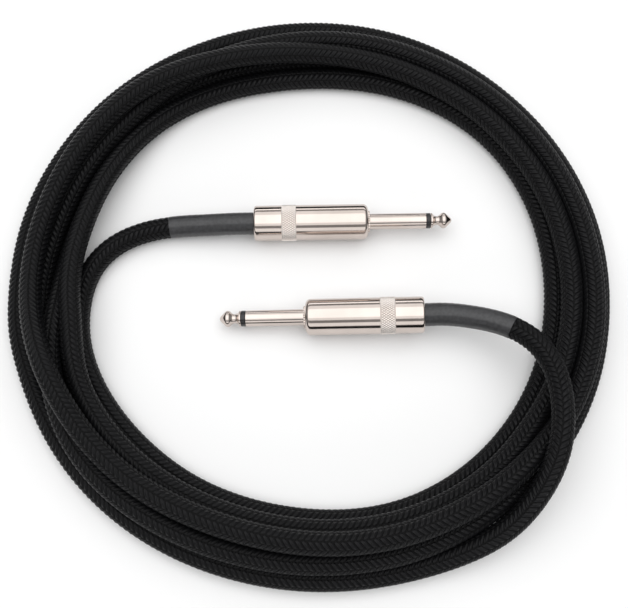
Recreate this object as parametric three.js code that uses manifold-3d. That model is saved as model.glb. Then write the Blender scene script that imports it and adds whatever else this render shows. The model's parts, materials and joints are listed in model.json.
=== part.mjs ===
// An instrument cable: nearly four metres of braided cable that lies in a loose round coil, with a
// mono quarter-inch phone plug on each end. Each plug's barrel unscrews from its threaded body.
// Millimetres, +Z up. The origin is on the surface that the cable lies on, in the middle of the coil.
import * as THREE from "three";
import { mergeVertices } from "three/addons/utils/BufferGeometryUtils.js";
import Module from "manifold-3d";

const wasm = await Module();
wasm.setup();

// ---- Driving dimensions ----

const GAP = 0.3; // clearance between pieces that touch each other on the real plug

// Every plug is drawn along its own x axis: x = 0 is the barrel's front face, +x runs to the tip.
const FINGER_RADIUS = 3.175; // a quarter of an inch across
const SLEEVE_FRONT = 23.7;
const SLEEVE_BORE = 2.3;
const INSULATOR_LENGTH = 1.6;
const INSULATOR_TUBE_RADIUS = SLEEVE_BORE - GAP;
const ROD_RADIUS = 0.95;
const TIP_LENGTH = 8;
const COLLAR_RADIUS = 3.1; // the tip's collar and the black ring behind it

const BARREL_RADIUS = 7.15;
const BARREL_LENGTH = 46;
const BARREL_BORE = 6.1;
const SHOULDER_ROUNDING = 2;
const REAR_ROUNDING = 0.6;
const REAR_WALL = 1.7;
const REAR_HOLE = 4.8;
const KNURL_RADIUS = 7.2;
const KNURL_FRONT = -29; // the knurled grip band runs from here back to KNURL_REAR
const KNURL_REAR = -34.8;
const THREAD_BORE = 5; // the crests of the barrel's own thread
const THREAD_LENGTH = 7.3;
const BODY_RADIUS = THREAD_BORE - GAP;
const BODY_REAR = -6;
const THREAD_DEPTH = 0.4;
const THREAD_PITCH = 0.8;

const SEAT_RING_RADIUS = 4.4;
const SEAT_RING_LENGTH = 0.7;
const SEAT_RING_TEETH = 24;
const FLANGE_RADIUS = 4.4;
const FLANGE = 0.8;

// The terminals behind the body, in the order they are stacked on the tip contact's rod.
const PLATE = 0.5; // their sheet metal
const LUG_FRONT = BODY_REAR - GAP - FLANGE - GAP;
const WASHER_FRONT = LUG_FRONT - PLATE - GAP;
const WASHER_REAR = WASHER_FRONT - 0.8;
const TIP_LUG_FRONT = WASHER_REAR - GAP;
const RIVET_FRONT = TIP_LUG_FRONT - PLATE - GAP;
const RIVET_REAR = RIVET_FRONT - 0.9;
const TAIL_REAR = -17; // the tip lug's tail
const TAIL_HOLE = -15;
const TAIL_BOTTOM = 2.1;
const CLAWS_FRONT = -26; // the ground lug's claws
const CLAWS_REAR = -31;
const CLAWS_OPENING = 0.6; // radians each side of the top that the claws leave open
const CORE_RADIUS = 0.9;
const PIGTAIL_RADIUS = 0.6;

const CORD_RADIUS = 4.2; // braided outside
const JACKET_RADIUS = 3.1; // rubber jacket with the braid cut back, inside the plug
const JACKET_FRONT = -24;
const RELIEF_RADIUS = 4.45; // shrunk sleeve over the braid
const RELIEF_START = -38;
const RELIEF_LENGTH = 42.5;
const STRAIGHT_END = -BARREL_LENGTH - 8; // the cable leaves the barrel straight as far as here

const LINER_RADIUS = BARREL_BORE - GAP;
const LINER_WALL = 0.4;

// The coil's outer shape as [radius, z]: a low round stack of turns, higher in the middle of its width.
const COIL_OUTLINE = [
  [87.5, 0], [121.5, 0], [121.5, 7.5], [118.5, 12.5], [113, 15.8],
  [101, 15.8], [95.5, 12.5], [90, 8.6], [87.5, 5.5],
];

// Where each plug lies: the middle of its front face, its heading, and how far its tip dips.
const PLUG_A = { front: [22.6, 26.4, 7.25], yaw: 1, dip: 0 };
const PLUG_B = { front: [-2.4, -14.3, 7.15], yaw: 180, dip: 4 };

// The cable's way from each plug to the coil, after the straight stretch behind the barrel.
const WAY_A = [
  [-43.3, 25.3, 6.2], [-50.8, 25.3, 5.3], [-58.4, 24.6, 4.75],
  [-67.4, 23.1, 4.4], [-75.2, 19.7, 4.25], [-82, 14.6, 4.25],
];
const WAY_B = [
  [58.6, -15.3, 12], [67.4, -17.7, 14.2], [75.6, -21, 16.3], [80.4, -24, 17.6],
  [84.4, -28.2, 18.9], [87.4, -33.2, 20], [89.4, -39, 20.5], [90.5, -45, 20.5],
];

// ---- Materials ----

function finish(color, roughness, metalness) {
  return new THREE.MeshStandardMaterial({ color, roughness, metalness });
}

const NICKEL = finish(0xd9cdc6, 0.18, 1);
const BRASS = finish(0xb99a5a, 0.35, 1);
const TINNED = finish(0xb9b7b0, 0.4, 1);
const COPPER = finish(0xb5764c, 0.4, 1);
const BLACK_PLASTIC = finish(0x151515, 0.35, 0);
const FIBRE = finish(0x5a3d2a, 0.8, 0);
const CLEAR_LINER = finish(0x2b3a4a, 0.4, 0);
const CORE_PLASTIC = finish(0xd8d3c4, 0.5, 0);
const RUBBER = finish(0x1a1a1b, 0.7, 0);
const SHRINK = finish(0x38383b, 0.65, 0);
const BRAID = finish(0x18181a, 0.85, 0);

// ---- Geometry helpers ----

const AROUND = 24; // facets round small turned pieces
const AROUND_BARREL = 32;
const AROUND_COIL = 64;
const ALONG_X = new THREE.Matrix4().makeBasis(
  new THREE.Vector3(0, 1, 0),
  new THREE.Vector3(0, 0, 1),
  new THREE.Vector3(1, 0, 0),
);

// A piece turned on the x axis from [radius, x] points. Off the axis the outline closes on itself.
function turned(outline, around = AROUND) {
  const points = outline.map(([radius, x]) => new THREE.Vector2(radius, x));
  if (outline[0][0] > 0) points.push(points[0].clone());
  return new THREE.LatheGeometry(points, around).rotateZ(-Math.PI / 2);
}

function ring(inner, outer, rear, front, around = AROUND) {
  return turned([[inner, rear], [outer, rear], [outer, front], [inner, front]], around);
}

// An arc of [radius, x] points about a centre, from one angle to another in degrees.
function arc(radius, x, size, from, to, steps) {
  return Array.from({ length: steps + 1 }, (_, i) => {
    const angle = THREE.MathUtils.degToRad(from + ((to - from) * i) / steps);
    return [radius + size * Math.cos(angle), x + size * Math.sin(angle)];
  });
}

// A flat shape drawn in y and z, made solid between two x positions.
function plate(shape, rear, front, curveSegments = 12) {
  const settings = { depth: front - rear, bevelEnabled: false, curveSegments };
  return new THREE.ExtrudeGeometry(shape, settings).applyMatrix4(ALONG_X).translate(rear, 0, 0);
}

function disc(radius, holeRadius) {
  const shape = new THREE.Shape().absarc(0, 0, radius, 0, 2 * Math.PI);
  shape.holes.push(new THREE.Path().absarc(0, 0, holeRadius, 0, 2 * Math.PI, true));
  return shape;
}

function box(rear, front, width, bottom, top) {
  const size = new THREE.BoxGeometry(front - rear, width, top - bottom);
  return size.translate((rear + front) / 2, 0, (bottom + top) / 2);
}

function smoothLine(points) {
  return new THREE.CatmullRomCurve3(points.map((p) => new THREE.Vector3(...p)), false, "centripetal");
}

// The stretch of a path between two distances from its start.
class Stretch extends THREE.Curve {
  constructor(path, from, to) {
    super();
    this.path = path;
    this.from = from / path.getLength();
    this.to = to / path.getLength();
  }

  getPoint(t, target) {
    return this.path.getPointAt(this.from + (this.to - this.from) * t, target);
  }
}

// A round bar along a path.
function bar(path, radius, sides, steps) {
  const section = new THREE.Shape().absarc(0, 0, radius, 0, 2 * Math.PI);
  const settings = { steps, extrudePath: path, bevelEnabled: false, curveSegments: sides / 2 };
  return new THREE.ExtrudeGeometry(section, settings);
}

function toSolid(geometry) {
  const bare = geometry.clone();
  bare.deleteAttribute("normal");
  bare.deleteAttribute("uv");
  const merged = mergeVertices(bare, 1e-4);
  const vertProperties = merged.attributes.position.array;
  const triVerts = new Uint32Array(merged.index.array);
  return new wasm.Manifold(new wasm.Mesh({ numProp: 3, vertProperties, triVerts }));
}

function toGeometry(solid) {
  const { vertProperties, triVerts } = solid.getMesh();
  const geometry = new THREE.BufferGeometry();
  geometry.setAttribute("position", new THREE.BufferAttribute(vertProperties, 3));
  geometry.setIndex(new THREE.BufferAttribute(triVerts, 1));
  geometry.computeVertexNormals();
  return geometry;
}

function joined(...geometries) {
  return toGeometry(geometries.map(toSolid).reduce((sum, next) => sum.add(next)));
}

function cut(geometry, tool) {
  return toGeometry(toSolid(geometry).subtract(toSolid(tool)));
}

function named(name, geometry, material) {
  const mesh = new THREE.Mesh(geometry, material);
  mesh.name = name;
  return mesh;
}

// ---- The plug's pieces ----

// The tip contact: a pointed ball on a neck, with the rod that runs back to its terminal.
function tipContact() {
  const collar = SLEEVE_FRONT + GAP + INSULATOR_LENGTH + GAP;
  const end = collar + TIP_LENGTH;
  return turned([
    [0, RIVET_REAR], [1.8, RIVET_REAR], [1.8, RIVET_FRONT], [ROD_RADIUS, RIVET_FRONT],
    [ROD_RADIUS, collar], [COLLAR_RADIUS, collar], [COLLAR_RADIUS, collar + 0.7],
    [2.1, collar + 1.7], [1.9, collar + 2.6], [2.1, collar + 3.3],
    [2.8, collar + 4.2], [3.15, collar + 5], [2.9, collar + 5.7],
    [0.6, end - 0.35], [0.3, end], [0, end],
  ]);
}

// The black ring between tip and sleeve, with the tube that insulates the rod.
function tipInsulator() {
  const bore = ROD_RADIUS + GAP;
  const tubeRear = WASHER_FRONT + GAP;
  const ringRear = SLEEVE_FRONT + GAP;
  const ringFront = ringRear + INSULATOR_LENGTH;
  return turned([
    [bore, tubeRear], [INSULATOR_TUBE_RADIUS, tubeRear], [INSULATOR_TUBE_RADIUS, ringRear],
    [COLLAR_RADIUS, ringRear], [COLLAR_RADIUS, ringFront], [bore, ringFront],
  ]);
}

// The finger's sleeve contact, flanged behind the threaded body.
function sleeveContact() {
  const front = BODY_REAR - GAP;
  const rear = front - FLANGE;
  return turned([
    [SLEEVE_BORE, rear], [FLANGE_RADIUS, rear], [FLANGE_RADIUS, front],
    [FINGER_RADIUS, front], [FINGER_RADIUS, SLEEVE_FRONT], [SLEEVE_BORE, SLEEVE_FRONT],
  ]);
}

// The collar that the barrel screws onto. Its thread is drawn as rings, one for each turn.
function threadedBody() {
  const front = -GAP;
  const bore = FINGER_RADIUS + GAP;
  const root = BODY_RADIUS - THREAD_DEPTH;
  const runIn = THREAD_PITCH / 8; // plain length behind the thread
  const turns = Math.floor((front - BODY_REAR - runIn) / THREAD_PITCH);
  const outline = [[bore, BODY_REAR], [root, BODY_REAR]];
  for (let turn = 0; turn < turns; turn++) {
    const foot = BODY_REAR + runIn + turn * THREAD_PITCH;
    outline.push([root, foot], [BODY_RADIUS, foot + THREAD_PITCH / 2]);
  }
  outline.push([root, BODY_REAR + runIn + turns * THREAD_PITCH], [root, front], [bore, front]);
  return turned(outline);
}

// The toothed ring that is staked round the finger in front of the body. The plug seats on it.
function seatRing() {
  const shape = new THREE.Shape();
  const toothDepth = 0.3;
  for (let i = 0; i < 2 * SEAT_RING_TEETH; i++) {
    const angle = (i * Math.PI) / SEAT_RING_TEETH;
    const radius = i % 2 ? SEAT_RING_RADIUS - toothDepth : SEAT_RING_RADIUS;
    shape[i ? "lineTo" : "moveTo"](radius * Math.cos(angle), radius * Math.sin(angle));
  }
  shape.closePath();
  shape.holes.push(new THREE.Path().absarc(0, 0, FINGER_RADIUS + GAP, 0, 2 * Math.PI, true));
  return plate(shape, 0, SEAT_RING_LENGTH);
}

// The sleeve's terminal: a ring plate, a long strip, and two claws folded round the jacket.
function groundLug() {
  const inner = JACKET_RADIUS + GAP;
  const outer = inner + PLATE;
  const start = Math.PI / 2 + CLAWS_OPENING;
  const end = Math.PI / 2 - CLAWS_OPENING + 2 * Math.PI;
  const claws = new THREE.Shape();
  claws.absarc(0, 0, outer, start, end, false);
  claws.absarc(0, 0, inner, end, start, true);
  const stripWidth = 3.2;
  return joined(
    plate(disc(FLANGE_RADIUS, INSULATOR_TUBE_RADIUS + GAP), LUG_FRONT - PLATE, LUG_FRONT),
    box(CLAWS_REAR, LUG_FRONT - PLATE / 5, stripWidth, -outer, -inner),
    plate(claws, CLAWS_REAR, CLAWS_FRONT),
  );
}

// The tip's terminal: a small plate under the rivet, and a bent tail with a hole for the core wire.
function tipLug() {
  const top = TAIL_BOTTOM + PLATE;
  const width = 2.4;
  const lug = joined(
    plate(disc(top, ROD_RADIUS + GAP), TIP_LUG_FRONT - PLATE, TIP_LUG_FRONT),
    box(TAIL_REAR, TIP_LUG_FRONT - PLATE / 5, width, TAIL_BOTTOM, top),
  );
  const hole = new THREE.CylinderGeometry(width / 4, width / 4, 4 * PLATE, 12);
  return cut(lug, hole.rotateX(Math.PI / 2).translate(TAIL_HOLE, 0, top));
}

// The handle: rounded in front, a knurled band near the rear, threaded bore, hole for the cable.
function barrel() {
  const rear = -BARREL_LENGTH;
  return turned([
    [REAR_HOLE, rear],
    ...arc(BARREL_RADIUS - REAR_ROUNDING, rear + REAR_ROUNDING, REAR_ROUNDING, -90, 0, 2),
    [BARREL_RADIUS, KNURL_REAR], [KNURL_RADIUS, KNURL_REAR],
    [KNURL_RADIUS, KNURL_FRONT], [BARREL_RADIUS, KNURL_FRONT],
    ...arc(BARREL_RADIUS - SHOULDER_ROUNDING, -SHOULDER_ROUNDING, SHOULDER_ROUNDING, 0, 90, 5),
    [THREAD_BORE, 0], [THREAD_BORE, -THREAD_LENGTH], [BARREL_BORE, -THREAD_LENGTH],
    [BARREL_BORE, rear + REAR_WALL], [REAR_HOLE, rear + REAR_WALL],
  ], AROUND_BARREL);
}

function liner() {
  const rear = -BARREL_LENGTH + REAR_WALL + GAP;
  return ring(LINER_RADIUS - LINER_WALL, LINER_RADIUS, rear, -THREAD_LENGTH - GAP);
}

function placedPlug({ front, yaw, dip }, side) {
  const plug = new THREE.Group();
  plug.position.set(...front);
  plug.rotation.set(0, THREE.MathUtils.degToRad(dip), THREE.MathUtils.degToRad(yaw), "ZYX");
  const coreWay = [[JACKET_FRONT + GAP, 0, 0], [-20.5, 0, 0.2], [-17, 0, 0.8], [-11.6, 0, 0.8]];
  const pigtailWay = [[JACKET_FRONT + GAP, 0, -1.9], [-21, 0, -2.2], [-16, 0, -2.4]];
  const coreWire = bar(smoothLine(coreWay), CORE_RADIUS, 8, 8);
  const pigtail = bar(smoothLine(pigtailWay), PIGTAIL_RADIUS, 8, 5);
  const washer = ring(ROD_RADIUS + GAP, JACKET_RADIUS, WASHER_REAR, WASHER_FRONT);
  plug.add(
    named("tip_contact_" + side, tipContact(), NICKEL),
    named("tip_insulator_" + side, tipInsulator(), BLACK_PLASTIC),
    named("sleeve_contact_" + side, sleeveContact(), NICKEL),
    named("threaded_body_" + side, threadedBody(), BRASS),
    named("seat_ring_" + side, seatRing(), NICKEL),
    named("ground_lug_" + side, groundLug(), TINNED),
    named("insulating_washer_" + side, washer, FIBRE),
    named("tip_lug_" + side, tipLug(), TINNED),
    named("core_wire_" + side, coreWire, CORE_PLASTIC),
    named("shield_pigtail_" + side, pigtail, COPPER),
    named("jacket_end_" + side, turned([
      [0, RELIEF_START + GAP], [JACKET_RADIUS, RELIEF_START + GAP],
      [JACKET_RADIUS, JACKET_FRONT], [0, JACKET_FRONT],
    ]), RUBBER),
    named("liner_" + side, liner(), CLEAR_LINER),
    named("barrel_" + side, barrel(), NICKEL),
  );
  return plug;
}

// ---- The cable ----

// A point on a plug's axis, in the cable's frame.
function onAxis({ front, yaw, dip }, x) {
  const heading = new THREE.Euler(0, THREE.MathUtils.degToRad(dip), THREE.MathUtils.degToRad(yaw), "ZYX");
  return new THREE.Vector3(x, 0, 0).applyEuler(heading).add(new THREE.Vector3(...front)).toArray();
}

// The cable's middle line, from where the shrunk sleeve starts inside the barrel to the coil.
function wayFrom(plug, way) {
  const straight = [RELIEF_START, -BARREL_LENGTH, STRAIGHT_END].map((x) => onAxis(plug, x));
  return smoothLine([...straight, ...way]);
}

// The shrunk sleeve with the cable inside it.
function strainRelief(way) {
  return bar(new Stretch(way, 0, RELIEF_LENGTH), RELIEF_RADIUS, 12, 12);
}

// The open cable, from the end of the shrunk sleeve to the coil.
function cableRun(way) {
  const from = RELIEF_LENGTH + GAP;
  const to = way.getLength();
  const steps = Math.round((to - from) / (2.5 * CORD_RADIUS));
  return bar(new Stretch(way, from, to), CORD_RADIUS, 10, steps);
}

function coil() {
  return turned(COIL_OUTLINE, AROUND_COIL).rotateY(-Math.PI / 2);
}

const wayA = wayFrom(PLUG_A, WAY_A);
const wayB = wayFrom(PLUG_B, WAY_B);
const cable = new THREE.Group();
cable.add(
  placedPlug(PLUG_A, "a"),
  placedPlug(PLUG_B, "b"),
  named("strain_relief_a", strainRelief(wayA), SHRINK),
  named("strain_relief_b", strainRelief(wayB), SHRINK),
  named("cable_run_a", cableRun(wayA), BRAID),
  named("cable_run_b", cableRun(wayB), BRAID),
  named("cable_coil", coil(), BRAID),
);

export default cable;
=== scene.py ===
"""An instrument cable on a pale floor: a braided cable in a loose round coil, a phone plug on each end.

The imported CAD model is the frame. The cable's braid, the shrunk sleeves and every plug piece that shows
are built here as fine meshes round the plugs' own axes. Everything is in metres.
"""

import json
import math

import bpy
import numpy as np
from mathutils import Matrix, Vector


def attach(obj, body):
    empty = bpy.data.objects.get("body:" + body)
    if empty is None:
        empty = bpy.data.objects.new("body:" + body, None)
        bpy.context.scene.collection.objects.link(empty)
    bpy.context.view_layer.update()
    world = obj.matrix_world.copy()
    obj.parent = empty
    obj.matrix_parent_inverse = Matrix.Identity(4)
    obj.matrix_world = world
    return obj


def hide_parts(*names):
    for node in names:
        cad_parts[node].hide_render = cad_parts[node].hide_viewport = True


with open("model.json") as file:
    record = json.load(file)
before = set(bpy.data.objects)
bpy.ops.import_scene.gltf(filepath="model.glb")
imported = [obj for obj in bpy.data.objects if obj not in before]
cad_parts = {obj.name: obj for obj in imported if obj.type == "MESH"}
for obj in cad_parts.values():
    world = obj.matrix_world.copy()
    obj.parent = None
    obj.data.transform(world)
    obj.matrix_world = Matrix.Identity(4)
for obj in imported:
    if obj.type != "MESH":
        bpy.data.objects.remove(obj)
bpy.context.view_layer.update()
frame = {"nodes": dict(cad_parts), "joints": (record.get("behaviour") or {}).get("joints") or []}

MM = 0.001
SIDES = ("a", "b")

# ---- Sizes, in millimetres. On a plug, x = 0 is the barrel's front face and +x runs to the tip. ----

CORD_RADIUS = 4.2
SLEEVE_RADIUS = 4.48  # shrunk sleeve at the barrel
SLEEVE_END_RADIUS = 4.4
SLEEVE_BORE = 4.22
SLEEVE_START = -38  # on the plug's axis, inside the barrel
SLEEVE_LENGTH = 39.5
CORD_START = -39.5
BARREL_REAR = -46
STRAIGHT_END = -54
KNURL_FRONT = -29
KNURL_REAR = -34.8
KNURL_RADIUS = 7.25
KNURL_TEETH = 46
KNURL_DEPTH = 0.28
KNURL_PITCH = 1.45  # along the barrel
TIP_COLLAR = 25.4  # where the tip comes out of the black ring
COLLAR_RADIUS = 3.12

# The cable's way from each plug to the coil, behind the straight stretch at the barrel.
WAY_A = [
    (-43.3, 25.3, 6.2), (-50.8, 25.3, 5.3), (-58.4, 24.6, 4.75), (-67.4, 23.1, 4.4),
    (-75.4, 19.9, 4.25), (-82.2, 15, 4.25), (-87.4, 9, 4.25), (-90.8, 2.4, 4.25),
]
WAY_B = [
    (58.6, -15.3, 12), (67.4, -17.7, 14.2), (75.6, -21, 16.3), (80.4, -24, 17.6),
    (84.4, -28.2, 18.9), (87.4, -33.2, 20), (89.4, -39, 20.5), (90.5, -45, 20.5),
]

# Each turn of the coil as (angle, radius, height) of its middle line. Angles run on from turn to turn,
# from the left of the coil round the bottom, the right and the top.
TURN_1 = [
    (184, 93, 4.2), (195, 93.7, 4.2), (210, 92.8, 4.2), (225, 91.1, 4.2), (240, 90.7, 4.2),
    (255, 90.4, 4.2), (270, 91.2, 4.2), (285, 93.4, 4.2), (300, 94.9, 4.2), (330, 96, 4.2),
    (360, 96.6, 4.2), (375, 98.3, 4.2), (390, 99.9, 4.2), (405, 100.3, 4.2), (420, 98.9, 4.2),
    (435, 96.9, 4.2), (450, 95.1, 4.2), (465, 95.6, 4.2), (480, 97.5, 4.4), (495, 98.4, 6.2),
    (510, 95.8, 10.4), (525, 94, 12.2),
]
TURN_2 = [
    (540, 94.5, 12.6), (555, 96.4, 12.5), (570, 97, 11.6), (585, 96.2, 11.4), (600, 95.1, 11.4),
    (615, 94.6, 11.4), (630, 95.5, 11.4), (645, 97.3, 11.6), (660, 98.9, 11.5), (675, 100.4, 11.4),
    (690, 101, 11.4), (705, 101.2, 11.4), (720, 101.5, 11.5), (735, 101.7, 11.8), (750, 101.8, 12.2),
    (780, 101.6, 12.2), (795, 101.3, 12.8), (810, 101, 14.6), (825, 101.3, 18.2), (840, 103.6, 20.4),
    (855, 107.2, 19.8), (870, 106.8, 19), (885, 108, 16.4),
]
TURN_3 = [
    (900, 109.4, 12.7), (908, 108.2, 16.4), (916, 105.8, 20), (925, 104.8, 20.6), (935, 103.4, 18.2),
    (945, 102.4, 17.2), (960, 100.1, 17.8), (975, 99.3, 18.2), (990, 100.2, 18.2), (1005, 102.2, 18.3),
    (1020, 103.7, 18.2), (1035, 105.6, 17.2), (1050, 108, 15), (1065, 109.4, 13.2), (1080, 109.2, 12.8),
    (1110, 109.4, 12.2), (1125, 109.6, 12.2), (1140, 109.6, 12.3), (1155, 109.6, 12.3), (1170, 108.9, 12.2),
    (1185, 107.5, 12.5), (1200, 105.9, 12.6), (1215, 104.6, 12.3), (1230, 103.4, 12), (1245, 104.9, 9.2),
]
TURN_4 = [
    (1260, 107, 4.6), (1275, 106, 4.2), (1285, 104.5, 4.2), (1295, 102.6, 4.2), (1305, 101.3, 4.2),
    (1320, 100.3, 4.2), (1335, 99.8, 4.2), (1350, 100.4, 4.2), (1365, 101.8, 4.2), (1380, 103.2, 4.2),
    (1395, 104, 4.2), (1425, 104.8, 4.2), (1440, 105.3, 4.2), (1455, 106.6, 4.2), (1470, 108, 4.2),
    (1485, 108.7, 4.2), (1500, 107.4, 4.2), (1515, 105.5, 4.2), (1530, 103.7, 4.2), (1545, 104.2, 4.2),
    (1558, 105.8, 4.2), (1568, 106.1, 4.2), (1576, 105, 4.2), (1590, 101.4, 4.2), (1605, 98.9, 4.2),
]
TURN_5 = [
    (1620, 98.6, 4.4), (1628, 100.4, 7.6), (1636, 103.6, 12.2), (1645, 106.4, 12.6), (1655, 108.6, 11.5),
    (1665, 108.9, 11.4), (1680, 107.4, 11.1), (1695, 106.5, 10.8), (1710, 106.6, 10.6), (1725, 107.9, 10.4),
    (1740, 109.3, 10), (1755, 110.5, 9), (1770, 111.4, 7.4), (1785, 112.4, 5.4), (1800, 114.1, 4.2),
    (1815, 115.4, 4.2), (1830, 116.4, 4.2), (1845, 117.2, 4.2), (1860, 118.3, 4.2), (1875, 119.2, 4.2),
    (1905, 119, 4.2), (1935, 118.8, 4.2), (1950, 118.3, 4.2), (1965, 117.6, 4.2),
]
TURN_6 = [
    (1980, 116.3, 4.2), (1995, 114.8, 4.2), (2010, 113.7, 4.2), (2025, 113, 4.2), (2040, 112, 4.2),
    (2055, 111.5, 4.2), (2070, 111.9, 4.2), (2085, 113.5, 4.2), (2097, 115.8, 5.8), (2106, 117.2, 10.5),
    (2113, 116, 16), (2119, 112.6, 20.5), (2126, 107.4, 23.2), (2131, 103.8, 23),
]

# ---- Camera ----

CAMERA_AT = (0.8, -119.2, 331.3)
CAMERA_AIM = (0.8, -6.4, 0)


def make_camera():
    data = bpy.data.cameras.new("camera")
    data.lens = 50
    data.sensor_width = 36
    data.clip_start = 0.01
    data.clip_end = 10
    camera = bpy.data.objects.new("camera", data)
    bpy.context.collection.objects.link(camera)
    camera.location = Vector(CAMERA_AT) * MM
    aim = (Vector(CAMERA_AIM) - Vector(CAMERA_AT)).normalized()
    camera.rotation_euler = aim.to_track_quat("-Z", "Y").to_euler()
    bpy.context.scene.camera = camera


make_camera()

# ---- Mesh helpers ----


def add_mesh(name, vertices, faces, matrix=None, sharp_angle=40):
    """A smooth-shaded object from vertices in millimetres, sharp where faces meet at over sharp_angle."""
    mesh = bpy.data.meshes.new(name)
    mesh.from_pydata((np.asarray(vertices) * MM).tolist(), [], faces)
    mesh.validate()
    mesh.shade_smooth()
    if sharp_angle:
        mesh.set_sharp_from_angle(angle=math.radians(sharp_angle))
    piece = bpy.data.objects.new(name, mesh)
    bpy.context.collection.objects.link(piece)
    if matrix is not None:
        piece.matrix_world = matrix
    return piece


def rounded(corners, steps=4):
    """An outline with its corners rounded. A corner is (radius, x) or (radius, x, rounding)."""
    points = []
    for i, corner in enumerate(corners):
        here = np.array(corner[:2], float)
        size = corner[2] if len(corner) > 2 else 0
        if not size:
            points.append(here)
            continue
        before = np.array(corners[i - 1][:2], float) - here
        after = np.array(corners[(i + 1) % len(corners)][:2], float) - here
        a = here + before / np.linalg.norm(before) * size
        b = here + after / np.linalg.norm(after) * size
        for t in np.linspace(0, 1, steps + 1):
            points.append((1 - t) ** 2 * a + 2 * t * (1 - t) * here + t * t * b)
    return points


def turned(name, outline, matrix, around, relief=None, sharp_angle=40):
    """A solid turned on the x axis from (radius, x) points. It closes on itself unless it ends on the axis.

    relief(angle, radius, x) gives the radius there, for knurling, teeth and threads.
    """
    outline = np.asarray(outline, float)
    angle = np.linspace(0, 2 * math.pi, around, endpoint=False)
    pointed = outline[0][0] < 1e-9
    ring_points = outline[1:-1] if pointed else outline
    radius, x = (np.repeat(c[:, None], around, 1) for c in ring_points.T)
    turn = np.broadcast_to(angle, radius.shape)
    if relief:
        radius = relief(turn, radius, x)
    grid = np.stack([x, radius * np.cos(turn), radius * np.sin(turn)], -1)
    rows = len(ring_points)
    vertices = grid.reshape(-1, 3)
    faces = []
    for i in range(rows - 1 if pointed else rows):
        j = (i + 1) % rows
        for k in range(around):
            m = (k + 1) % around
            faces.append((i * around + k, i * around + m, j * around + m, j * around + k))
    if pointed:
        ends = [(outline[0][1], 0, 0), (outline[-1][1], 0, 0)]
        first, last = len(vertices), len(vertices) + 1
        vertices = np.vstack([vertices, ends])
        base = (rows - 1) * around
        for k in range(around):
            m = (k + 1) % around
            faces.append((first, m, k))
            faces.append((last, base + k, base + m))
    return add_mesh(name, vertices, faces, matrix, sharp_angle)


def plug_axes(side):
    """A plug's own axes: the origin is the middle of the barrel's front face, +x runs to the tip."""
    joint = next(j for j in frame["joints"] if j["name"] == f"barrel_{side}_turn")
    x = -Vector(joint["axis"]).normalized()
    y = Vector((0, 0, 1)).cross(x).normalized()
    axes = Matrix((x, y, x.cross(y))).transposed().to_4x4()
    axes.translation = Vector(joint["pos_m"])
    return axes


PLUG = {side: plug_axes(side) for side in SIDES}


def on_axis(side, x):
    """A point on a plug's axis, in millimetres in the cable's frame."""
    return np.array(PLUG[side] @ Vector((x * MM, 0, 0))) / MM


# ---- The cable's route ----

ROUTE_STEP = 3
LINE_STEP = 0.75
NEAR_POINTS = 14  # points along the route that don't count as another strand
HELD_POINTS = 12  # at each end of the route, inside and behind the barrels
PRESS = 0.05  # how far two strands may press into each other
SHOVE = 0.25  # share of an overlap that each strand gives way by in one round
STIFFNESS = 0.1


def smooth_line(points, step):
    """Points a step apart on a centripetal Catmull-Rom curve through the given ones."""
    p = np.asarray(points, float)
    p = np.vstack([2 * p[0] - p[1], p, 2 * p[-1] - p[-2]])
    dense = []
    for a, b, c, d in zip(p, p[1:], p[2:], p[3:]):
        t0 = 0
        t1 = t0 + np.linalg.norm(b - a) ** 0.5
        t2 = t1 + np.linalg.norm(c - b) ** 0.5
        t3 = t2 + np.linalg.norm(d - c) ** 0.5
        t = np.linspace(t1, t2, max(2, int(np.linalg.norm(c - b) / 0.4)), endpoint=False)[:, None]
        ab = (t1 - t) / (t1 - t0) * a + (t - t0) / (t1 - t0) * b
        bc = (t2 - t) / (t2 - t1) * b + (t - t1) / (t2 - t1) * c
        cd = (t3 - t) / (t3 - t2) * c + (t - t2) / (t3 - t2) * d
        abc = (t2 - t) / (t2 - t0) * ab + (t - t0) / (t2 - t0) * bc
        bcd = (t3 - t) / (t3 - t1) * bc + (t - t1) / (t3 - t1) * cd
        dense.append((t2 - t) / (t2 - t1) * abc + (t - t1) / (t2 - t1) * bcd)
    dense = np.vstack([*dense, p[-2]])
    return evenly(dense, step)


def evenly(points, step):
    """The same line with its points a step apart."""
    gone = np.r_[0, np.cumsum(np.linalg.norm(np.diff(points, axis=0), axis=1))]
    count = int(round(gone[-1] / step)) + 1
    at = np.linspace(0, gone[-1], count)
    return np.stack([np.interp(at, gone, points[:, i]) for i in range(3)], 1)


def coil_points():
    """The coil's turns, one point every ten degrees, worked out from the turns' own radii and heights."""
    angle, radius, height = np.array([*TURN_1, *TURN_2, *TURN_3, *TURN_4, *TURN_5, *TURN_6]).T
    turn = np.arange(angle[0], angle[-1] + 0.1, 10)
    r = np.interp(turn, angle, radius)
    z = np.interp(turn, angle, height)
    return np.stack([r * np.cos(np.radians(turn)), r * np.sin(np.radians(turn)), z], 1)


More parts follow.
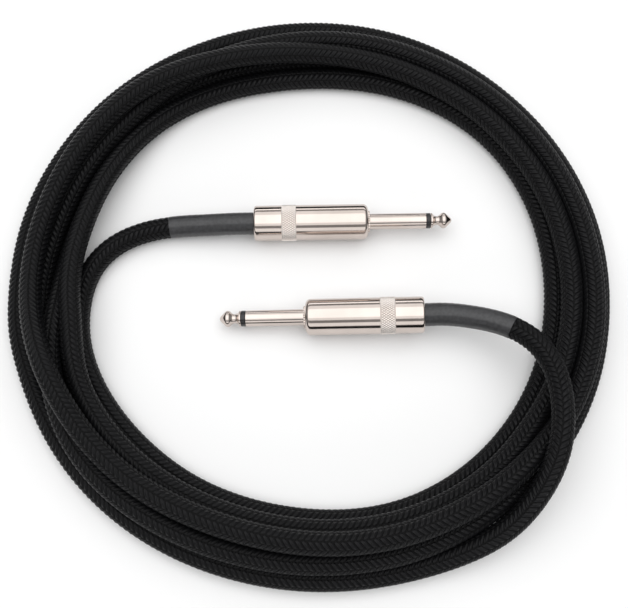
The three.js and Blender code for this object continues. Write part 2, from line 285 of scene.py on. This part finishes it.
def settled(line, rounds=300):
    """The line with its strands pushed apart where they lie in each other, none under the floor."""
    start = line.copy()
    i, j = np.triu_indices(len(line), NEAR_POINTS)
    close = np.linalg.norm(line[i] - line[j], axis=1) < 4 * CORD_RADIUS
    i, j = i[close], j[close]
    held = np.zeros(len(line), bool)
    held[:HELD_POINTS] = held[-HELD_POINTS:] = True
    for _ in range(rounds):
        apart = line[i] - line[j]
        distance = np.linalg.norm(apart, axis=1)
        lack = np.maximum(2 * CORD_RADIUS - PRESS - distance, 0)
        shove = SHOVE * (lack / np.maximum(distance, 1e-6))[:, None] * apart
        move = np.zeros_like(line)
        count = np.ones(len(line))
        np.add.at(move, i, shove)
        np.add.at(move, j, -shove)
        np.add.at(count, i, lack > 0)
        np.add.at(count, j, lack > 0)
        line = line + move * 2 / (1 + count)[:, None]
        bend = np.zeros_like(line)
        bend[2:-2] = line[:-4] - 4 * line[1:-3] + 6 * line[2:-2] - 4 * line[3:-1] + line[4:]
        line = line - STIFFNESS * bend
        line[:, 2] = np.maximum(line[:, 2], CORD_RADIUS)
        line[held] = start[held]
    return line


def cable_line():
    """The cable's middle line from inside barrel A to inside barrel B."""
    a = [on_axis("a", x) for x in (CORD_START, BARREL_REAR, STRAIGHT_END)]
    b = [on_axis("b", x) for x in (STRAIGHT_END, BARREL_REAR, CORD_START)]
    route = np.vstack([*a, *WAY_A, coil_points(), *WAY_B[::-1], *b])
    return smooth_line(settled(smooth_line(route, ROUTE_STEP)), LINE_STEP)


line = cable_line()

# ---- The braid ----

CARRIER_COLUMNS = 8  # pairs of carriers: columns of stitches that slant one way, then the other
COLUMN_STEPS = 3
STITCH = 2.25  # along the cable
STITCH_ROWS = 4
CROWN_RADIUS = 4.36  # the yarn's highest places
COVERED_RADIUS = 4.15  # squeezed under the shrunk sleeve
BRAID_RELIEF = 0.55
STITCH_PAD = np.array([0, 0.8, 1, 0.8])  # a stitch's height along itself, as a share of the relief
STITCH_EDGE = 0.42  # and where it meets the next column
FLOOR_GAP = 0.02


class Along:
    """Places along a line, with a section that doesn't twist."""

    def __init__(self, points):
        self.points = points
        self.gone = np.r_[0, np.cumsum(np.linalg.norm(np.diff(points, axis=0), axis=1))]
        self.length = self.gone[-1]
        heading = np.gradient(points, axis=0)
        self.heading = heading / np.linalg.norm(heading, axis=1)[:, None]
        side = np.cross([0, 0, 1.0], self.heading[0])
        sides = []
        for h in self.heading:
            side = side - h * (side @ h)
            side = side / np.linalg.norm(side)
            sides.append(side)
        self.side = np.array(sides)
        self.up = np.cross(self.heading, self.side)

    def at(self, gone, radius, angle):
        """Surface points at distances along the line, a radius and an angle round it."""
        past = gone - np.clip(gone, 0, self.length)

        def look(values):
            return np.stack([np.interp(gone, self.gone, values[:, i]) for i in range(3)], -1)

        middle = look(self.points) + past[..., None] * look(self.heading)
        out = np.cos(angle)[..., None] * look(self.side) + np.sin(angle)[..., None] * look(self.up)
        return middle + radius[..., None] * out


def braid(name, way):
    """A braided tube: each column's rows slant by one stitch, and each stitch is a rounded pad."""
    around = CARRIER_COLUMNS * COLUMN_STEPS
    rows = int(way.length / STITCH) * STITCH_ROWS
    row, spot = np.meshgrid(np.arange(rows + 1), np.arange(around), indexing="ij")
    column, part = spot // COLUMN_STEPS, spot % COLUMN_STEPS
    leaning = column % 2 == 0
    share = part / COLUMN_STEPS
    slant = np.where(leaning, share, 1 - share) * STITCH
    phase = np.where(leaning, row, row + STITCH_ROWS // 2) % STITCH_ROWS
    height = np.where(part == 0, STITCH_EDGE, STITCH_PAD[phase])
    gone = row / STITCH_ROWS * (way.length - STITCH) / (rows / STITCH_ROWS) + slant
    radius = CROWN_RADIUS - BRAID_RELIEF * (1 - height)
    covered = SLEEVE_START - CORD_START + SLEEVE_LENGTH
    from_end = np.minimum(gone, way.length - gone)
    radius = np.where(from_end < covered, np.minimum(radius, COVERED_RADIUS), radius)
    angle = spot / around * 2 * math.pi
    grid = way.at(gone, radius, angle)
    grid[..., 2] = np.maximum(grid[..., 2], FLOOR_GAP)
    k = np.arange(rows)[:, None] * around
    s = np.arange(around)[None, :]
    n = (s + 1) % around
    quads = np.stack([k + s, k + n, k + n + around, k + s + around], -1).reshape(-1, 4)
    vertices = grid.reshape(-1, 3)
    first, last = len(vertices), len(vertices) + 1
    vertices = np.vstack([vertices, grid[0].mean(0), grid[-1].mean(0)])
    base = rows * around
    caps = [(first, (c + 1) % around, c) for c in range(around)]
    caps += [(last, base + c, base + (c + 1) % around) for c in range(around)]
    piece = add_mesh(name, vertices, quads.tolist() + caps, sharp_angle=0)
    weave = piece.data.uv_layers.new(name="weave")
    u = np.repeat(np.arange(rows) / STITCH_ROWS, around)
    v = np.tile(np.arange(around) / COLUMN_STEPS, rows)
    du, dv = 1 / STITCH_ROWS, 1 / COLUMN_STEPS
    corners = np.stack([u, v, u, v + dv, u + du, v + dv, u + du, v], 1).ravel()
    coordinates = np.zeros(len(piece.data.loops) * 2)
    coordinates[: len(corners)] = corners
    weave.data.foreach_set("uv", coordinates)
    return piece


cable_way = Along(line)
cable = braid("braided_cable", cable_way)

# ---- Materials ----


class Nodes:
    """A short way to write a material's nodes."""

    def __init__(self, name):
        self.material = bpy.data.materials.new(name)
        self.material.use_nodes = True
        self.tree = self.material.node_tree
        self.shader = self.tree.nodes["Principled BSDF"]

    def add(self, kind, inputs=None, **settings):
        node = self.tree.nodes.new("ShaderNode" + kind)
        for key, value in settings.items():
            setattr(node, key, value)
        for key, value in (inputs or {}).items():
            self.join(value, node.inputs[key])
        return node

    def join(self, value, socket):
        if isinstance(value, bpy.types.NodeSocket):
            self.tree.links.new(value, socket)
        else:
            socket.default_value = value

    def set(self, **sockets):
        for key, value in sockets.items():
            self.join(value, self.shader.inputs[key.replace("_", " ")])

    def noise(self, place, scale, detail=3, stretch=(1, 1, 1)):
        moved = self.add("Mapping", {"Vector": place, "Scale": stretch})
        inputs = {"Vector": moved.outputs[0], "Scale": scale, "Detail": detail}
        return self.add("TexNoise", inputs).outputs["Fac"]

    def between(self, factor, low, high, start=0.3, end=0.7):
        limits = {"Value": factor, "From Min": start, "From Max": end, "To Min": low, "To Max": high}
        return self.add("MapRange", limits).outputs[0]

    def blend(self, factor, low, high, start=0.3, end=0.7):
        ramp = self.add("ValToRGB", {"Fac": factor})
        ramp.color_ramp.elements[0].position = start
        ramp.color_ramp.elements[0].color = (*low, 1)
        ramp.color_ramp.elements[1].position = end
        ramp.color_ramp.elements[1].color = (*high, 1)
        return ramp.outputs[0]

    def bump(self, height, strength, distance, normal=None):
        inputs = {"Height": height, "Strength": strength, "Distance": distance}
        if normal:
            inputs["Normal"] = normal
        return self.add("Bump", inputs).outputs[0]

    def place(self):
        return self.add("TexCoord").outputs["Object"]

    def maths(self, operation, *values):
        inputs = dict(enumerate(values))
        return self.add("Math", inputs, operation=operation).outputs[0]


def finish(name, low, high, rough, metallic=0.0, grain=400, relief=0.02, stretch=(1, 1, 1)):
    """Colour, roughness and fine bump that vary with a grain at the piece's own scale."""
    n = Nodes(name)
    place = n.place()
    grains = n.noise(place, grain, 4, stretch)
    cloud = n.noise(place, grain / 9, 2)
    n.set(Base_Color=n.blend(cloud, low, high), Metallic=metallic)
    n.set(Roughness=n.between(cloud, *rough))
    n.set(Normal=n.bump(grains, 0.5, relief * MM))
    return n.material


def braid_material():
    """Black yarn: two ends side by side in each stitch, painted shade darkening the gaps round it, and fine
    fibres.
    """
    n = Nodes("braid")
    uv = n.add("UVMap", uv_map="weave").outputs[0]
    split = n.add("SeparateXYZ", {0: uv})
    along, across = split.outputs[0], split.outputs[1]
    ends = n.maths("SINE", n.maths("MULTIPLY", along, 4 * math.pi))
    shifted = n.maths("MULTIPLY", n.maths("MODULO", n.maths("FLOOR", across), 2.0), 0.5)
    moved = n.maths("MULTIPLY", n.maths("ADD", along, shifted), math.pi)
    stitch = n.maths("ABSOLUTE", n.maths("SINE", moved))
    column = n.maths("ABSOLUTE", n.maths("SINE", n.maths("MULTIPLY", across, math.pi)))
    stitch_body = n.between(stitch, 0.0, 1.0, 0.05, 0.5)
    yarn = n.maths("MULTIPLY", stitch_body, n.between(column, 0.0, 1.0, 0.05, 0.45))
    fibre = n.noise(uv, 5, 3, (6, 1, 1))
    cloud = n.noise(n.place(), 240, 3)
    # painted shade: the colour goes nearly black in the gaps between stitches and between columns
    lit = n.maths("MULTIPLY", yarn, n.between(cloud, 0.6, 1.0))
    n.set(Base_Color=n.blend(lit, (0.0008, 0.0008, 0.001), (0.0058, 0.0058, 0.0066), 0.05, 0.9))
    shine = n.maths("ADD", n.between(yarn, 0.3, 0.0, 0.0, 1.0), n.between(fibre, 0.28, 0.46))
    n.set(Roughness=shine, Metallic=0.0, Specular_IOR_Level=0.15)
    n.set(Sheen_Weight=0.01, Sheen_Roughness=0.4, Sheen_Tint=(0.8, 0.82, 0.9, 1))
    coarse = n.bump(yarn, 0.8, 0.24 * MM)
    twin = n.bump(ends, 0.6, 0.11 * MM, coarse)
    n.set(Normal=n.bump(fibre, 0.35, 0.05 * MM, twin))
    return n.material


def sleeve_material():
    """Charcoal shrunk tube with a fine mottle."""
    n = Nodes("shrink_sleeve")
    place = n.place()
    mottle = n.noise(place, 900, 3)
    cloud = n.noise(place, 130, 2)
    n.set(Base_Color=n.blend(mottle, (0.008, 0.0083, 0.0098), (0.022, 0.0225, 0.0255), 0.38, 0.62))
    n.set(Roughness=n.between(cloud, 0.34, 0.44), Metallic=0.0, Specular_IOR_Level=0.7)
    n.set(Normal=n.bump(mottle, 0.5, 0.06 * MM))
    return n.material


def grip_material():
    """Knurled nickel: bright and less rough on the diamonds' points, dull down in the grooves, where painted
    shade darkens the colour.
    """
    n = Nodes("nickel_grip")
    place = n.place()
    across = n.add("VectorMath", {0: place, 1: (0, 1, 1)}, operation="MULTIPLY").outputs[0]
    out = n.add("VectorMath", {0: across}, operation="LENGTH").outputs["Value"]
    height = n.between(out, 0.0, 1.0, (KNURL_RADIUS - KNURL_DEPTH) * MM, (KNURL_RADIUS - 0.06) * MM)
    # painted shade: the colour darkens down in the grooves and lightens on the points, with a random mottle
    # on top
    groove_shade_mottled = n.maths("MULTIPLY", height, n.between(n.noise(place, 700, 3), 0.85, 1.0))
    n.set(Base_Color=n.blend(groove_shade_mottled, (0.42, 0.38, 0.355), (0.95, 0.88, 0.83), 0.05, 0.8))
    n.set(Roughness=n.between(height, 0.5, 0.24, 0.0, 1.0), Metallic=1.0)
    return n.material


TURNING = (14, 1, 1)  # fine lines round the axis that a lathe leaves
MATERIALS = {
    "nickel": finish("nickel", (0.57, 0.5, 0.46), (0.64, 0.565, 0.52), (0.07, 0.12), 1.0,
                     700, 0.004, TURNING),
    "nickel_grip": grip_material(),
    "brass": finish("brass", (0.5, 0.35, 0.13), (0.6, 0.44, 0.19), (0.25, 0.4), 1.0, 900, 0.01, TURNING),
    "tinned": finish("tinned_terminal", (0.45, 0.44, 0.41), (0.6, 0.59, 0.56), (0.3, 0.5), 1.0, 800, 0.02),
    "copper": finish("copper", (0.42, 0.19, 0.09), (0.6, 0.3, 0.16), (0.3, 0.45), 1.0, 1500, 0.03,
                     (1, 6, 6)),
    "black_plastic": finish("black_plastic", (0.008, 0.008, 0.009), (0.014, 0.014, 0.015), (0.16, 0.26),
                            0.0, 1200, 0.004),
    "fibre": finish("fibre", (0.09, 0.045, 0.025), (0.15, 0.08, 0.045), (0.7, 0.85), 0.0, 1500, 0.03),
    "core_insulation": finish("core_insulation", (0.6, 0.57, 0.48), (0.68, 0.65, 0.56), (0.4, 0.5), 0.0,
                              700, 0.01),
    "inner_jacket": finish("inner_jacket", (0.009, 0.009, 0.01), (0.016, 0.016, 0.017), (0.6, 0.75), 0.0,
                           900, 0.02),
    "liner_film": finish("liner_film", (0.02, 0.03, 0.05), (0.03, 0.045, 0.07), (0.3, 0.42), 0.0, 500, 0.01),
    "braid": braid_material(),
    "shrink_sleeve": sleeve_material(),
}


def paint(piece, name):
    """Gives a new piece its one material."""
    piece.data.materials.append(MATERIALS[name])


paint(cable, "braid")

# ---- The plugs ----

FINGER_RADIUS = 3.175
FINGER_FRONT = 23.45
BARREL_RADIUS = 7.15
SEAT_TEETH = 24
TOOTH_DEPTH = 0.3
BODY_BORE = 3.475  # of the threaded body and of the toothed ring
THREAD_PITCH = 0.8
THREAD_DEPTH = 0.4
THREAD_FRONT = -0.35
THREAD_REAR = -5.95
SHOULDER = 2  # rounding of the barrel's front edge


def wave(t):
    """A triangle wave: 0 at whole numbers, 1 halfway between."""
    return 1 - np.abs(2 * (t % 1) - 1)


def knurling(angle, radius, x):
    """Two sets of crossing grooves between the ends of the grip band."""
    turns = angle * KNURL_TEETH / (2 * math.pi)
    diamonds = np.minimum(wave(turns + x / KNURL_PITCH), wave(turns - x / KNURL_PITCH))
    diamonds = np.minimum(1.6 * diamonds, 1)  # flat tops
    on_band = (radius > KNURL_RADIUS - 0.01) & (x < KNURL_FRONT) & (x > KNURL_REAR)
    return np.where(on_band, radius - KNURL_DEPTH * (1 - diamonds), radius)


def make_barrel(side):
    band = np.linspace(KNURL_REAR + 0.15, KNURL_FRONT - 0.15, 56)
    outline = rounded([
        (4.8, -44.3), (4.8, BARREL_REAR, 0.25), (BARREL_RADIUS, BARREL_REAR, 1.1),
        (BARREL_RADIUS, KNURL_REAR - 0.02), (KNURL_RADIUS - 0.12, KNURL_REAR),
    ])
    outline += [(KNURL_RADIUS, x) for x in band]
    outline += rounded([
        (KNURL_RADIUS - 0.12, KNURL_FRONT), (BARREL_RADIUS, KNURL_FRONT + 0.02), (BARREL_RADIUS, -2.6),
    ])
    shoulder = np.radians(np.linspace(0, 90, 10))
    outline += [(BARREL_RADIUS - SHOULDER + SHOULDER * math.cos(a), -SHOULDER + SHOULDER * math.sin(a))
                for a in shoulder]
    outline += rounded([(4.95, 0, 0.12), (4.95, -7.3), (6.1, -7.4), (6.1, -44.3)])[1:]
    barrel = turned("barrel_shell_" + side, outline, PLUG[side], 12 * KNURL_TEETH, knurling, 30)
    slots = barrel.data.materials
    slots.append(MATERIALS["nickel"])
    slots.append(MATERIALS["nickel_grip"])
    for face in barrel.data.polygons:
        x = face.center.x / MM
        outside = math.hypot(face.center.y, face.center.z) / MM > 6.9
        face.material_index = int(KNURL_REAR < x < KNURL_FRONT and outside)
    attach(barrel, "barrel_" + side)
    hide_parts("barrel_" + side)
    return barrel


def tip_outline():
    """The tip's front outline: collar, waisted neck, ball and a cone that ends in a small rounded point."""
    collar = [(COLLAR_RADIUS - 0.08, 0), (COLLAR_RADIUS, 0.08), (COLLAR_RADIUS, 0.6)]
    neck = [(2.7, 0.9), (2.2, 1.35), (1.92, 1.85), (1.8, 2.4), (1.84, 2.95), (2.08, 3.5), (2.5, 3.95)]
    ball = [(2.92, 4.35), (3.17, 4.8), (3.24, 5.25), (3.17, 5.7), (2.95, 6.1)]
    cone = [(2.3, 6.8), (1.7, 7.42), (1.1, 8), (0.72, 8.3), (0.35, 8.46), (0, 8.5)]
    return [(r, TIP_COLLAR + x) for r, x in collar + neck + ball + cone]


def make_contacts(side):
    """The parts of the plug that stay with the cable."""
    axes = PLUG[side]
    finger = turned("finger_sleeve_" + side, rounded([
        (2.3, -7.1), (4.4, -7.1, 0.1), (4.4, -6.3, 0.1), (FINGER_RADIUS, -6.3),
        (FINGER_RADIUS, FINGER_FRONT, 0.12), (2.3, FINGER_FRONT, 0.1),
    ]), axes, 128)
    tip = turned("finger_tip_" + side, [
        (0, -11), (1.8, -11), (1.8, -10.1), (0.95, -10.1), (0.95, TIP_COLLAR), *tip_outline(),
    ], axes, 128)
    ring = turned("black_ring_" + side, rounded([
        (1.25, -7.9), (2, -7.9), (2, 23.6), (COLLAR_RADIUS, 23.6, 0.1), (COLLAR_RADIUS, 25.2, 0.1),
        (1.25, 25.2),
    ]), axes, 128)

    def teeth(angle, radius, x):
        dip = TOOTH_DEPTH * (0.5 - 0.5 * np.cos(SEAT_TEETH * angle)) ** 1.5
        return np.where(radius > 4, radius - dip, radius)

    seat = turned("toothed_ring_" + side, rounded([
        (BODY_BORE, 0.02), (4.4, 0.02, 0.06), (4.4, 0.72, 0.18), (BODY_BORE, 0.72, 0.06),
    ]), axes, 10 * SEAT_TEETH, teeth)

    def thread(angle, radius, x):
        deep = THREAD_DEPTH * (1 - wave(x / THREAD_PITCH - angle / (2 * math.pi)))
        runout = np.clip(np.minimum(THREAD_FRONT - x, x - THREAD_REAR) / THREAD_DEPTH, 0, 1)
        return np.where(radius > 4.5, radius - THREAD_DEPTH + (THREAD_DEPTH - deep) * runout, radius)

    ridges = [(4.7, x) for x in np.linspace(THREAD_REAR, THREAD_FRONT, 57)]
    collar = turned("threaded_collar_" + side, [
        (BODY_BORE, -6), (4.3, -6), *ridges, (4.3, -0.3), (BODY_BORE, -0.3),
    ], axes, 120, thread)
    made = [
        (finger, "nickel", "sleeve_contact_"), (tip, "nickel", "tip_contact_"),
        (ring, "black_plastic", "tip_insulator_"), (seat, "nickel", "seat_ring_"),
        (collar, "brass", "threaded_body_"),
    ]
    for piece, material, node in made:
        paint(piece, material)
        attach(piece, "cable")
        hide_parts(node + side)
    return [piece for piece, _, _ in made]


def make_sleeve(side):
    """The shrunk sleeve over the cable's end: thin, tapered, with the braid's pattern faintly in it."""
    start = SLEEVE_START - CORD_START
    points = line if side == "a" else line[::-1]
    way = Along(points[: int((start + SLEEVE_LENGTH + 20) / LINE_STEP)])
    steps, around = 220, 128
    at = start + np.linspace(0, SLEEVE_LENGTH, steps)
    share = np.linspace(0, 1, steps)
    outside = SLEEVE_RADIUS + (SLEEVE_END_RADIUS - SLEEVE_RADIUS) * share
    lip = np.clip((1 - share) * SLEEVE_LENGTH / 0.35, 0, 1)
    outside = SLEEVE_BORE + (outside - SLEEVE_BORE) * np.sqrt(1 - (1 - lip) ** 2)
    angle = np.linspace(0, 2 * math.pi, around, endpoint=False)
    gone, turn = np.meshgrid(at, angle, indexing="ij")
    cross = turn * CARRIER_COLUMNS / (2 * math.pi)
    lay = gone / (2 * STITCH)
    printed = np.sin(2 * math.pi * (lay + cross)) * np.sin(2 * math.pi * (lay - cross))
    radius = outside[:, None] + 0.035 * printed * lip[:, None]
    outer = way.at(gone, radius, turn)
    inner = way.at(gone, np.full_like(gone, SLEEVE_BORE), turn)
    grid = np.concatenate([outer, inner[::-1]])
    rows = 2 * steps
    k = np.arange(rows)[:, None] * around
    following = (np.arange(rows)[:, None] + 1) % rows * around
    s = np.arange(around)[None, :]
    n = (s + 1) % around
    faces = np.stack([k + s, k + n, following + n, following + s], -1).reshape(-1, 4)
    piece = add_mesh("shrunk_sleeve_" + side, grid.reshape(-1, 3), faces.tolist(), sharp_angle=50)
    paint(piece, "shrink_sleeve")
    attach(piece, "cable")
    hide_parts("strain_relief_" + side)
    return piece


for side in SIDES:
    make_barrel(side)
    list(make_contacts(side))
    make_sleeve(side)

KEPT_NODES = {
    "ground_lug_": "tinned", "tip_lug_": "tinned", "insulating_washer_": "fibre",
    "core_wire_": "core_insulation", "shield_pigtail_": "copper", "jacket_end_": "inner_jacket",
    "liner_": "liner_film",
}
for side in SIDES:
    for node, material in KEPT_NODES.items():
        kept = frame["nodes"][node + side]
        if len(kept.data.materials) == 0:
            kept.data.materials.append(MATERIALS[material])
        for i in range(len(kept.material_slots)):
            kept.material_slots[i].material = MATERIALS[material]

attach(cable, "cable")
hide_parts("cable_coil", "cable_run_a", "cable_run_b")

# ---- Floor and light ----


def make_floor():
    mesh = bpy.data.meshes.new("floor")
    size = 4
    corners = [(-size, -size, 0), (size, -size, 0), (size, size, 0), (-size, size, 0)]
    mesh.from_pydata(corners, [], [(0, 1, 2, 3)])
    floor = bpy.data.objects.new("floor", mesh)
    bpy.context.collection.objects.link(floor)
    n = Nodes("pale_floor")
    n.set(Base_Color=(0.93, 0.93, 0.93, 1), Roughness=0.9, Specular_IOR_Level=0.1)
    mesh.materials.append(n.material)


def area_light(name, at, aim, size, power):
    data = bpy.data.lights.new(name, "AREA")
    data.shape = "RECTANGLE"
    data.size, data.size_y = size
    data.energy = power
    light = bpy.data.objects.new(name, data)
    bpy.context.collection.objects.link(light)
    light.location = at
    light.rotation_euler = (Vector(aim) - Vector(at)).to_track_quat("-Z", "Y").to_euler()


make_floor()
area_light("overhead_softbox", (-0.05, 0.38, 1.1), (-0.05, 0.38, 0), (2.6, 2.6), 20)
area_light("overhead_middle", (-0.05, 0.1, 1.09), (-0.05, 0.1, 0), (1.8, 1.2), 4)
area_light("front_strip", (0, -1, 0.4), (0, 0, 0), (1.6, 0.42), 1.9)
area_light("back_strip", (0, 1.2, 0.32), (0, 0, 0), (1.6, 0.2), 1.5)
world = bpy.data.worlds.new("studio")
world.use_nodes = True
world.node_tree.nodes["Background"].inputs["Color"].default_value = (1, 1, 1, 1)
world.node_tree.nodes["Background"].inputs["Strength"].default_value = 0.3
bpy.context.scene.world = world
bpy.context.scene.view_settings.view_transform = "Standard"
